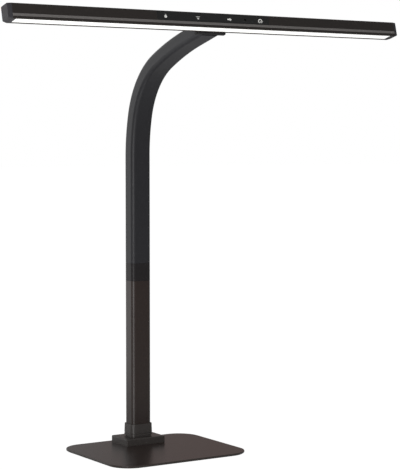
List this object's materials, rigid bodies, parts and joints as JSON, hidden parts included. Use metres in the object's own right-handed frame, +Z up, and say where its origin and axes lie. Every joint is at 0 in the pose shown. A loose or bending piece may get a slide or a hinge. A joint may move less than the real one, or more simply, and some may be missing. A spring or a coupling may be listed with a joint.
{
  "type": "desk lamp",
  "caption": "Tall desk lamp: a wide tilted light bar with touch keys on a flexible gooseneck, above a fixed post and a flat steel base.",
  "frame": {"origin": "on the resting plane, under the axis of the post", "axes": "+X along the light bar, -Y to the front where the bar hangs, +Z up"},
  "size_m": [0.807, 0.3231, 0.8051],
  "materials": {
    "foam_pad": "matte",
    "base_coat": "satin",
    "plinth_plastic": "matte",
    "collar_plastic": "satin",
    "inlet_plastic": "satin",
    "bare_steel": "satin",
    "post_coat": "satin",
    "wire_jacket": "matte",
    "connector_plastic": "matte",
    "ferrule_coat": "satin",
    "link_aluminium": "satin",
    "neck_sleeve": "matte",
    "bracket_coat": "satin",
    "black_screw": "satin",
    "bar_coat": "satin",
    "cap_plastic": "satin",
    "trim_metal": "satin",
    "panel_plastic": "gloss",
    "key_contact": "satin",
    "green_board": "matte",
    "sensor_lens": "gloss",
    "diffuser_acrylic": "matte",
    "white_board": "matte",
    "chip_phosphor": "matte"
  },
  "bodies": {
    "base": {"base_pad": "foam_pad", "base_plate": "base_coat", "post_screws": "bare_steel", "plinth_screws": "bare_steel", "plinth": "plinth_plastic", "collar": "collar_plastic", "dc_inlet": "inlet_plastic", "post_plug": "bare_steel", "plug_screws": "bare_steel", "lower_post": "post_coat", "post_wire": "wire_jacket", "wire_connector": "connector_plastic", "neck_ferrule": "ferrule_coat", "spigot_screws": "bare_steel", "neck_anchor": "bare_steel", "anchor_nut": "bare_steel"},
    "neck_1": {"neck_link_1": "link_aluminium", "neck_sleeve_1": "neck_sleeve"},
    "neck_2": {"neck_link_2": "link_aluminium", "neck_sleeve_2": "neck_sleeve"},
    "neck_3": {"neck_link_3": "link_aluminium", "neck_sleeve_3": "neck_sleeve"},
    "neck_4": {"neck_link_4": "link_aluminium", "neck_sleeve_4": "neck_sleeve"},
    "neck_5": {"neck_link_5": "link_aluminium", "neck_sleeve_5": "neck_sleeve"},
    "neck_6": {"neck_link_6": "link_aluminium", "neck_sleeve_6": "neck_sleeve"},
    "neck_7": {"neck_link_7": "link_aluminium", "neck_sleeve_7": "neck_sleeve"},
    "neck_8": {"neck_link_8": "link_aluminium", "neck_sleeve_8": "neck_sleeve"},
    "neck_9": {"neck_link_9": "link_aluminium", "neck_sleeve_9": "neck_sleeve"},
    "neck_10": {"neck_link_10": "link_aluminium", "neck_sleeve_10": "neck_sleeve"},
    "neck_11": {"neck_link_11": "link_aluminium", "neck_sleeve_11": "neck_sleeve"},
    "head": {"neck_sleeve_12": "neck_sleeve", "head_bracket": "bracket_coat", "bracket_screws": "black_screw", "nut_plate": "bare_steel", "bar_housing": "bar_coat", "end_cap_left": "cap_plastic", "end_cap_right": "cap_plastic", "front_trim": "trim_metal", "touch_panel": "panel_plastic", "touch_keys": "key_contact", "touch_board": "green_board", "sensor_window": "sensor_lens", "light_sensor": "sensor_lens", "diffuser": "diffuser_acrylic", "led_board": "white_board", "led_chips": "chip_phosphor", "bar_lead": "wire_jacket"}
  },
  "joints": [
    {"name": "neck_bend", "type": "hinge", "parent": "base", "child": "neck_1", "pos_m": [0, 0, 0.3502], "axis": [1, 0.0005, 0.0005], "range_deg": [-12.5, 8]},
    {"name": "neck_sway", "type": "hinge", "parent": "neck_1", "child": "neck_2", "pos_m": [0, 0, 0.39812], "axis": [0.0005, 1, 0], "range_deg": [-8, 8]},
    {"name": "neck_bend_2", "type": "hinge", "parent": "neck_2", "child": "neck_3", "pos_m": [0, 0, 0.44604], "axis": [1, 0.0005, 0.0005], "range_deg": [-12.5, 8]},
    {"name": "neck_sway_2", "type": "hinge", "parent": "neck_3", "child": "neck_4", "pos_m": [0, 0, 0.49396], "axis": [0.0005, 1, 0], "range_deg": [-8, 8]},
    {"name": "neck_bend_3", "type": "hinge", "parent": "neck_4", "child": "neck_5", "pos_m": [0, 0, 0.54187], "axis": [1, 0.0005, 0.0005], "range_deg": [-12.5, 8]},
    {"name": "neck_sway_3", "type": "hinge", "parent": "neck_5", "child": "neck_6", "pos_m": [0, -0.00217, 0.58971], "axis": [0.0005, 0.9933, 0.1154], "range_deg": [-8, 8]},
    {"name": "neck_bend_4", "type": "hinge", "parent": "neck_6", "child": "neck_7", "pos_m": [0, -0.01125, 0.63671], "axis": [1, 0.0005, 0.0005], "range_deg": [-12.5, 8]},
    {"name": "neck_sway_4", "type": "hinge", "parent": "neck_7", "child": "neck_8", "pos_m": [0, -0.03189, 0.67972], "axis": [0.0005, 0.82, 0.5723], "range_deg": [-8, 8]},
    {"name": "neck_bend_5", "type": "hinge", "parent": "neck_8", "child": "neck_9", "pos_m": [0, -0.06515, 0.71393], "axis": [1, 0.0005, 0.0005], "range_deg": [-12.5, 8]},
    {"name": "neck_sway_5", "type": "hinge", "parent": "neck_9", "child": "neck_10", "pos_m": [0, -0.10724, 0.73656], "axis": [0.0005, 0.3951, 0.9187], "range_deg": [-8, 8]},
    {"name": "neck_bend_6", "type": "hinge", "parent": "neck_10", "child": "neck_11", "pos_m": [0, -0.15197, 0.75372], "axis": [1, 0.0005, 0.0005], "range_deg": [-12.5, 8]},
    {"name": "neck_sway_6", "type": "hinge", "parent": "neck_11", "child": "head", "pos_m": [0, -0.19793, 0.76726], "axis": [0.0005, 0.2504, 0.9681], "range_deg": [-8, 8]}
  ],
  "couplings": [
    {"joint": "neck_bend_2", "follows": "neck_bend", "ratio": 1},
    {"joint": "neck_sway_2", "follows": "neck_sway", "ratio": 1},
    {"joint": "neck_bend_3", "follows": "neck_bend", "ratio": 1},
    {"joint": "neck_sway_3", "follows": "neck_sway", "ratio": 1},
    {"joint": "neck_bend_4", "follows": "neck_bend", "ratio": 1},
    {"joint": "neck_sway_4", "follows": "neck_sway", "ratio": 1},
    {"joint": "neck_bend_5", "follows": "neck_bend", "ratio": 1},
    {"joint": "neck_sway_5", "follows": "neck_sway", "ratio": 1},
    {"joint": "neck_bend_6", "follows": "neck_bend", "ratio": 1},
    {"joint": "neck_sway_6", "follows": "neck_sway", "ratio": 1}
  ]
}
